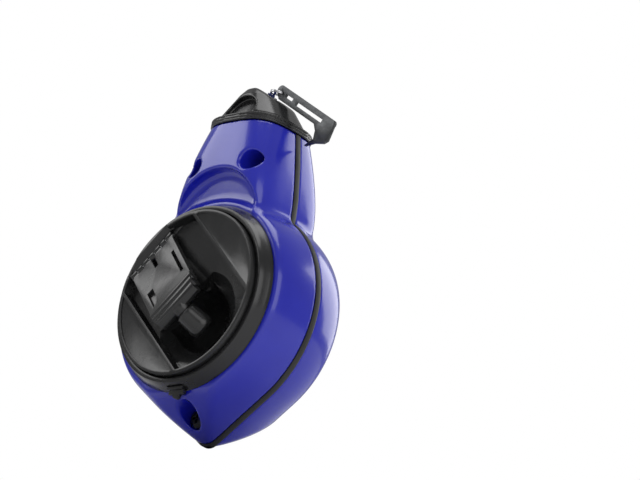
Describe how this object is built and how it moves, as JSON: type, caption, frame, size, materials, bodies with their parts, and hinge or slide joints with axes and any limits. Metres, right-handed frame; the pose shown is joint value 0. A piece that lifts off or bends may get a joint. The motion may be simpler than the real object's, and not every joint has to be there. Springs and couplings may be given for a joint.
{
  "type": "chalk line reel",
  "caption": "Hand-held geared chalk line reel: teardrop case with a folding crank on its face, a lift-out nose cap and a claw hook on the line's ring.",
  "frame": {"origin": "on the crank axis at the flat back face", "axes": "+Z towards the nose and the hook, -Y towards the crank face, +X across the case to its right as seen from the crank side"},
  "size_m": [0.0806, 0.0516, 0.1399],
  "materials": {
    "blue_case": "glossy moulded royal blue",
    "black_gloss": "glossy moulded black",
    "black_satin": "satin moulded black",
    "black_rubber": "matte black rubber",
    "spool_plastic": "dark moulded plastic",
    "gear_nylon": "natural nylon",
    "screw_steel": "dull zinc-plated steel",
    "bright_steel": "bright nickel-plated steel",
    "hook_steel": "grey stamped steel",
    "grey_felt": "pressed felt",
    "chalk_line": "braided line dusted with blue chalk"
  },
  "bodies": {
    "case": {"front_case": "blue_case", "rear_case": "blue_case", "seam_gasket": "black_rubber", "case_screws": "screw_steel", "main_axle": "bright_steel", "ring_gear": "gear_nylon", "crank_collar": "black_gloss", "collar_catch": "black_gloss", "crank_seal": "grey_felt"},
    "crank": {"crank_disc": "black_gloss", "planet_carrier": "black_gloss", "carrier_screws": "screw_steel", "planet_pins": "bright_steel", "hinge_pin": "bright_steel"},
    "planet_1": {"planet_gear_1": "gear_nylon"},
    "planet_2": {"planet_gear_2": "gear_nylon"},
    "planet_3": {"planet_gear_3": "gear_nylon"},
    "arm": {"crank_arm": "black_satin", "knob_axle": "screw_steel"},
    "knob": {"crank_knob": "black_satin"},
    "spool": {"spool": "spool_plastic", "sun_gear": "gear_nylon", "wound_line": "chalk_line"},
    "nose": {"nose_cap": "black_gloss", "line_eyelet": "bright_steel", "line_wiper": "grey_felt", "line_run": "chalk_line", "line_knot": "chalk_line"},
    "ring": {"line_ring": "bright_steel"},
    "hook": {"line_hook": "hook_steel"}
  },
  "joints": [
    {"name": "crank_spin", "type": "hinge", "parent": "case", "child": "crank", "pos_m": [0, -0.0385, 0], "axis": [0, -1, 0], "continuous": true},
    {"name": "planet_1_spin", "type": "hinge", "parent": "crank", "child": "planet_1", "pos_m": [0.00725, -0.0209, 0.01139], "axis": [0, -1, 0], "continuous": true},
    {"name": "planet_2_spin", "type": "hinge", "parent": "crank", "child": "planet_2", "pos_m": [-0.01349, -0.0209, 0.00059], "axis": [0, -1, 0], "continuous": true},
    {"name": "planet_3_spin", "type": "hinge", "parent": "crank", "child": "planet_3", "pos_m": [0.00623, -0.0209, -0.01197], "axis": [0, -1, 0], "continuous": true},
    {"name": "spool_spin", "type": "hinge", "parent": "case", "child": "spool", "pos_m": [0, -0.0105, 0], "axis": [0, -1, 0], "continuous": true},
    {"name": "crank_fold", "type": "hinge", "parent": "crank", "child": "arm", "pos_m": [-0.02051, -0.0423, 0.01626], "axis": [-0.7071, 0, -0.7071], "range_deg": [-12, 120]},
    {"name": "knob_spin", "type": "hinge", "parent": "arm", "child": "knob", "pos_m": [0.00347, -0.0492, -0.00771], "axis": [0.5, 0.7071, -0.5], "continuous": true},
    {"name": "nose_lift", "type": "slide", "parent": "case", "child": "nose", "axis": [0, 0, 1], "range_m": [0, 0.009], "deforming": ["line_run"]},
    {"name": "ring_swing", "type": "hinge", "parent": "nose", "child": "ring", "pos_m": [0, -0.0185, 0.0885], "axis": [0, 1, 0], "range_deg": [-60, 0]},
    {"name": "hook_swing", "type": "hinge", "parent": "ring", "child": "hook", "pos_m": [0.00526, -0.0185, 0.08729], "axis": [0, 1, 0], "range_deg": [-40, 0]}
  ],
  "couplings": [
    {"joint": "planet_1_spin", "follows": "crank_spin", "ratio": -3.25},
    {"joint": "planet_2_spin", "follows": "crank_spin", "ratio": -3.25},
    {"joint": "planet_3_spin", "follows": "crank_spin", "ratio": -3.25},
    {"joint": "spool_spin", "follows": "crank_spin", "ratio": 3.6}
  ]
}
